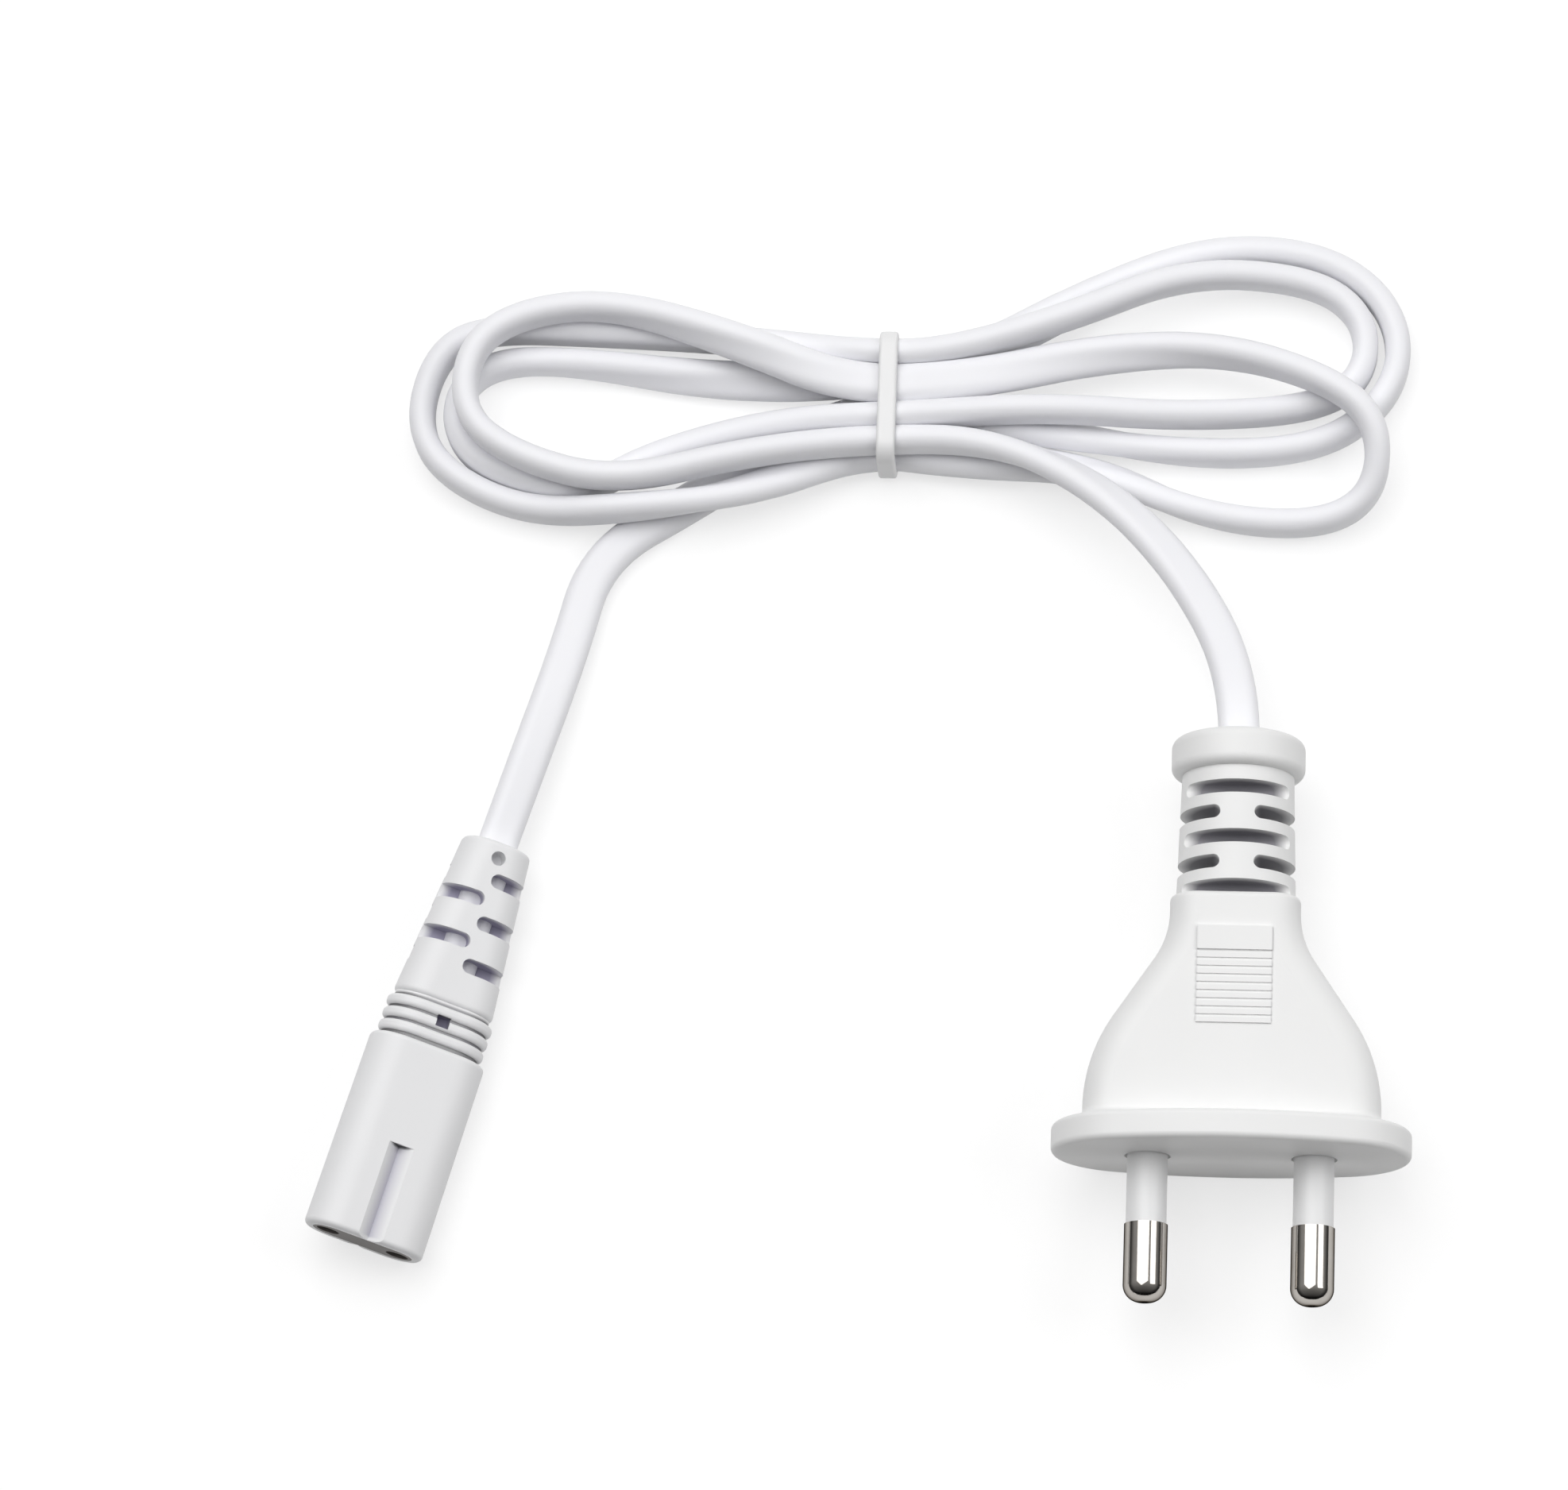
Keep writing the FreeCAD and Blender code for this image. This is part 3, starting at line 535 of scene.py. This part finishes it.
@dataclass
class Plug:
    """The plug: moulding, pins with their sleeves, and what the moulding holds."""

    FINISHES: ClassVar[Mapping[str, Finish]] = {
        "plug_body": Finish.PLUG, "pin_carrier": Finish.CARRIER,
        "pin_live": Finish.NICKEL, "pin_neutral": Finish.NICKEL,
        "pin_sleeve_live": Finish.SLEEVE, "pin_sleeve_neutral": Finish.SLEEVE,
        "core_live_plug": Finish.BROWN, "core_neutral_plug": Finish.BLUE,
        "wire_live_plug": Finish.COPPER, "wire_neutral_plug": Finish.COPPER,
        "cord_end_plug": Finish.CORD,
    }

    def dress(self, wardrobe: Wardrobe) -> None:
        """Gives each node of the plug its finish."""
        for node, finish in self.FINISHES.items():
            wardrobe.dress(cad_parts[node], finish)


@dataclass
class Connector:
    """The connector: moulding, insert, contacts, and what the moulding holds."""

    FINISHES: ClassVar[Mapping[str, Finish]] = {
        "connector_body": Finish.CONNECTOR, "connector_insert": Finish.INSERT,
        "contact_live": Finish.BRASS, "contact_neutral": Finish.BRASS,
        "core_live_connector": Finish.BROWN, "core_neutral_connector": Finish.BLUE,
        "wire_live_connector": Finish.COPPER, "wire_neutral_connector": Finish.COPPER,
        "cord_end_connector": Finish.CORD,
    }

    def dress(self, wardrobe: Wardrobe) -> None:
        """Gives each node of the connector its finish."""
        for node, finish in self.FINISHES.items():
            wardrobe.dress(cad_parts[node], finish)


@dataclass
class FlatCord:
    """The flat two-core cord, from the plug through its tied hank to the connector.

    The route holds the spline's control points in millimetres with the cord's turn about
    its own line in degrees: at 0 its wide face looks up, at 90 it stands on its edge.
    """

    UV_NAME: ClassVar[str] = "cord_uv"
    wide_mm: float = 4.8
    thick_mm: float = 3.0
    length: float = 0.884
    order: int = 3
    rings_per_point: int = 10
    section_steps: int = 5
    weld: float = 1e-6
    smooth_degrees: float = 50.0
    route: tuple[tuple[float, float, float, float], ...] = (
        # out of the plug and up to the tie
        (0, 33.2, 11, 0), (0, 41.4, 11, -1), (-6.9, 54.9, 8.8, 16), (-16.9, 65.3, 7.3, 43),
        (-29.6, 71.1, 6.5, 87), (-43.6, 71.2, 6.3, 91),
        # left loop on top
        (-58.7, 68.9, 7.7, 90), (-74.4, 64.8, 7.4, 90), (-86.2, 67.8, 7.4, 90), (-92.9, 72.8, 7.4, 90),
        (-92.7, 81.1, 7.7, 90), (-86.9, 85.9, 7.4, 90), (-75.7, 87.6, 7, 88), (-60.2, 82.6, 7.8, 44),
        (-47, 77.3, 7.4, -2),
        # right loop that dips at its front
        (-32.7, 78.6, 6.5, 2), (-16.8, 82.7, 5.4, 35), (-2.3, 83.3, 5.9, 73), (10.7, 78.6, 7.8, 91),
        (15.9, 73.3, 7.1, 90), (15.2, 65.7, 3.7, 90), (8.5, 62.3, 2.5, 91), (-4.7, 63.3, 2.5, 86),
        (-17.8, 69.2, 2.3, 51), (-33.5, 69.9, 2.7, 7), (-45.3, 71.6, 2.1, -7),
        # widest left loop, on the table
        (-58.7, 64.5, 5.3, 53), (-73.1, 62.1, 5.8, 97), (-85.6, 62.6, 2.1, 87), (-95.7, 67.2, 2.8, 91),
        (-99, 73.8, 2.4, 89), (-96.9, 82.2, 2.5, 90), (-91.4, 85.6, 2.5, 90), (-76.7, 85.3, 2.4, 90),
        (-60.5, 84.4, 2.9, 90), (-46.3, 81.7, 6.6, 90),
        # right loop inside the others
        (-36.1, 81.9, 6.4, 90), (-21.7, 86.2, 7.4, 90), (-7.2, 92.9, 6, 90), (7.6, 92.9, 3.4, 90),
        (13.9, 88.6, 2.6, 90), (14.2, 81.6, 2.5, 90), (8.8, 77.1, 2.4, 90), (-6.9, 74.9, 5, 90),
        (-23.9, 75.3, 6.8, 90), (-39.4, 74.1, 6.5, 90),
        # left loop inside the others
        (-55.1, 73.3, 6.1, 90), (-70.7, 69.8, 2.9, 90), (-78.9, 64.8, 2.3, 90), (-89.6, 67.3, 2.5, 90),
        (-94.3, 71.8, 2.5, 90), (-94.2, 77.6, 2.5, 90), (-89.8, 81.3, 2.5, 88), (-80.8, 81.6, 2.6, 96),
        (-63.6, 79.4, 2.2, 42), (-48.2, 79.6, 2.1, -2),
        # widest right loop, on the table
        (-33.6, 82.1, 2.7, 1), (-19.5, 90.5, 2.3, 50), (-5.4, 97, 2.6, 96), (7.5, 96.6, 2.5, 87),
        (15.6, 91.9, 2.5, 91), (18.6, 84.5, 2.5, 89), (16.1, 77.3, 2.5, 91), (8.3, 71.9, 2.5, 88),
        (-6, 70.9, 2.6, 95), (-22.6, 73.5, 2.2, 50), (-40, 76.3, 2.7, -6),
        # out of the tie and into the connector
        (-50.7, 74.6, 1.9, 2), (-65.2, 64.7, 1.5, -1), (-76.7, 57.5, 1.6, 1), (-79.5, 45, 2.4, -2),
        (-84.3, 28.1, 5, -20), (-86.6, 20.4, 5.2, -20),
    )

    def line(self) -> bpy.types.Object:
        """The cord's centreline as a smooth NURBS curve object.

        Returns:
            The curve object, with a turn at each control point.
        """
        data = bpy.data.curves.new("cord_line", "CURVE")
        data.dimensions, data.twist_mode = "3D", "Z_UP"
        data.resolution_u = self.rings_per_point
        spline = data.splines.new("NURBS")
        spline.points.add(len(self.route) - 1)
        for point, (x, y, z, turn) in zip(spline.points, self.route):
            point.co = (x * MM, y * MM, z * MM, 1.0)
            point.tilt = math.radians(turn)
        spline.order_u = self.order
        spline.use_endpoint_u = True
        curve = bpy.data.objects.new("cord_line", data)
        bpy.context.scene.collection.objects.link(curve)
        return curve

    def section(self) -> bpy.types.Object:
        """The cord's section: flat wide faces and round edges.

        Returns:
            A flat closed curve object for the cord line to sweep.
        """
        half, flat = self.thick_mm / 2 * MM, (self.wide_mm - self.thick_mm) / 2 * MM
        reach = 4 / 3 * math.tan(math.pi / 8) * half
        corners = (
            ((flat, -half), (-reach, 0)), ((flat + half, 0), (0, -reach)), ((flat, half), (reach, 0)),
            ((-flat, half), (reach, 0)), ((-flat - half, 0), (0, reach)), ((-flat, -half), (-reach, 0)),
        )
        data = bpy.data.curves.new("cord_section", "CURVE")
        data.dimensions, data.resolution_u = "2D", self.section_steps
        spline = data.splines.new("BEZIER")
        spline.bezier_points.add(len(corners) - 1)
        for point, ((x, y), (dx, dy)) in zip(spline.bezier_points, corners):
            point.handle_left_type = point.handle_right_type = "FREE"
            point.co = (x, y, 0)
            point.handle_left = (x + dx, y + dy, 0)
            point.handle_right = (x - dx, y - dy, 0)
        spline.use_cyclic_u = True
        curve = bpy.data.objects.new("cord_section", data)
        bpy.context.scene.collection.objects.link(curve)
        return curve

    def sweep(self) -> tuple[bpy.types.Object, list[Vector]]:
        """Sweeps the section along the line.

        Returns:
            The cord's mesh object, and the points of its centreline.
        """
        line, section = self.line(), self.section()
        bare = bpy.data.meshes.new_from_object(line)
        places = [vertex.co.copy() for vertex in bare.vertices]
        path = [place for before, place in zip([None, *places], places) if before is None or place != before]
        line.data.bevel_mode, line.data.bevel_object = "OBJECT", section
        line.data.use_fill_caps = True
        graph = bpy.context.evaluated_depsgraph_get()
        mesh = bpy.data.meshes.new_from_object(line.evaluated_get(graph), depsgraph=graph)
        mesh.name = "flat_cord"
        mesh.uv_layers[0].name = self.UV_NAME
        cord = bpy.data.objects.new("flat_cord", mesh)
        bpy.context.scene.collection.objects.link(cord)
        for helper in (line, section):
            bpy.data.objects.remove(helper)
        bpy.data.meshes.remove(bare)
        return cord, path

    def close(self, cord: bpy.types.Object) -> None:
        """Welds the end caps to the sweep, turns all faces outwards and smooths them."""
        bpy.ops.object.select_all(action="DESELECT")
        cord.select_set(True)
        bpy.context.view_layer.objects.active = cord
        bpy.ops.object.mode_set(mode="EDIT")
        bpy.ops.mesh.select_all(action="SELECT")
        bpy.ops.mesh.remove_doubles(threshold=self.weld)
        bpy.ops.mesh.normals_make_consistent(inside=False)
        bpy.ops.object.mode_set(mode="OBJECT")
        bpy.ops.object.shade_smooth_by_angle(angle=math.radians(self.smooth_degrees))

    def build(self) -> bpy.types.Object:
        """Returns:
            The cord's mesh object.
        """
        cord, path = self.sweep()
        self.close(cord)
        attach(cord, "root")
        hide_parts("cord_hank", "lead_plug", "lead_connector")
        Finish.CORD.slot()
        LOG.info("built %s along %d points", cord.name, len(path))
        return cord

    def dress(self, cord: bpy.types.Object, wardrobe: Wardrobe) -> None:
        """Gives the cord and its tie their finishes."""
        wardrobe.dress(cord, Finish.CORD)
        wardrobe.dress(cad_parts["hank_tie"], Finish.TIE)


@dataclass(frozen=True)
class Lamp:
    """A square lamp that looks at the object: where it hangs, its side and its power in watts."""

    name: str
    place: Vector
    size: float
    power: float

    def hang(self, target: Vector) -> None:
        """Puts the lamp in the scene, turned to a target."""
        data = bpy.data.lights.new(self.name, "AREA")
        data.shape, data.size, data.energy = "SQUARE", self.size, self.power
        lamp = bpy.data.objects.new(self.name, data)
        bpy.context.scene.collection.objects.link(lamp)
        aim = (target - self.place).to_track_quat("-Z", "Y").to_matrix().to_4x4()
        lamp.matrix_world = Matrix.Translation(self.place) @ aim


@dataclass
class Studio:
    """The pale floor, the soft light and the camera."""

    sky: tuple[tuple[float, float], ...] = ((0.0, 0.08), (0.2, 0.2), (0.45, 0.85), (0.75, 1.0), (1.0, 0.95))
    sky_level: float = 0.38
    sky_lean: float = 0.36
    sky_least: float = 0.04
    lamps: tuple[Lamp, ...] = (
        Lamp("key_lamp", Vector((-0.22, 0.24, 0.88)), 0.8, 5.5),
        Lamp("fill_lamp", Vector((0.55, 0.1, 0.6)), 0.4, 1.4),
    )
    floor_size: float = 7.0
    floor_colour: Colour = (0.8, 0.8, 0.8)
    floor_glow: float = 0.5
    floor_light: float = 1.3
    image_wide: int = 1974
    focal_px: float = 9000.0
    sensor_mm: float = 36.0
    clip: tuple[float, float] = (0.01, 20.0)
    elevation: float = 73.63
    azimuth: float = 13.94
    roll: float = -12.33
    distance: float = 0.8445
    target: Vector = Vector((-0.05368, 0.0350, 0.0))

    def floor(self) -> None:
        """A wide pale floor that keeps the object's shadow and looks white around it."""
        bpy.ops.object.select_all(action="DESELECT")
        bpy.ops.mesh.primitive_plane_add(size=self.floor_size)
        floor = bpy.context.object
        floor.name = "floor"
        material, graph = new_graph("floor_paper")
        camera, glossy, through = (graph.node("ShaderNodeLightPath", output=f"Is {kind} Ray")
                                   for kind in ("Camera", "Glossy", "Transmission"))
        seen = camera.at_least(glossy).at_least(through)
        paper = graph.node("ShaderNodeBsdfDiffuse", None, {"Color": opaque(self.floor_colour)})
        glow = graph.node("ShaderNodeEmission", None, {"Color": (1, 1, 1, 1), "Strength": self.floor_light})
        both = graph.node("ShaderNodeMixShader", None, {0: seen * self.floor_glow, 1: paper, 2: glow})
        graph.node("ShaderNodeOutputMaterial", None, {"Surface": both})
        floor.data.materials.append(material)

    def light(self) -> None:
        """A soft sky that darkens towards the horizon, and two large lamps above."""
        world = bpy.data.worlds.new("studio_sky")
        bpy.context.scene.world = world
        world.use_nodes = True
        graph = Graph(world.node_tree)
        _, ahead, height = graph.parts(graph.node("ShaderNodeTexCoord", output="Generated"))
        stops = tuple((place, (grey, grey, grey)) for place, grey in self.sky)
        sky = graph.node("ShaderNodeValToRGB", {"stops": stops}, {0: height})
        strength = (self.sky_level + ahead * self.sky_lean).at_least(self.sky_least)
        light = graph.node("ShaderNodeBackground", None, {"Color": sky, "Strength": strength})
        graph.node("ShaderNodeOutputWorld", None, {"Surface": light})
        for lamp in self.lamps:
            lamp.hang(self.target)

    def camera(self) -> None:
        """A long lens that looks down on the object."""
        up_angle, turn = math.radians(self.elevation), math.radians(self.azimuth)
        out = math.cos(up_angle)
        back = Vector((math.sin(turn) * out, -math.cos(turn) * out, math.sin(up_angle)))
        right = Vector((math.cos(turn), math.sin(turn), 0.0))
        level = Matrix((right, back.cross(right), back)).transposed()
        data = bpy.data.cameras.new("camera")
        data.sensor_fit, data.sensor_width = "HORIZONTAL", self.sensor_mm
        data.lens = self.focal_px / self.image_wide * self.sensor_mm
        data.clip_start, data.clip_end = self.clip
        camera = bpy.data.objects.new("camera", data)
        bpy.context.scene.collection.objects.link(camera)
        rolled = level @ Matrix.Rotation(math.radians(self.roll), 3, "Z")
        camera.matrix_world = Matrix.Translation(self.target + back * self.distance) @ rolled.to_4x4()
        bpy.context.scene.camera = camera

    def build(self) -> None:
        """Sets up the whole studio."""
        self.floor()
        self.light()
        self.camera()
        bpy.context.scene.view_settings.view_transform = "Standard"


def main() -> None:
    """Builds and dresses the sub-assemblies, then the studio."""
    logging.basicConfig(level=logging.INFO, format="%(message)s")
    wardrobe = Wardrobe()
    Plug().dress(wardrobe)
    Connector().dress(wardrobe)
    cord = FlatCord()
    cord.dress(cord.build(), wardrobe)
    Studio().build()


if __name__ == "__main__":
    main()
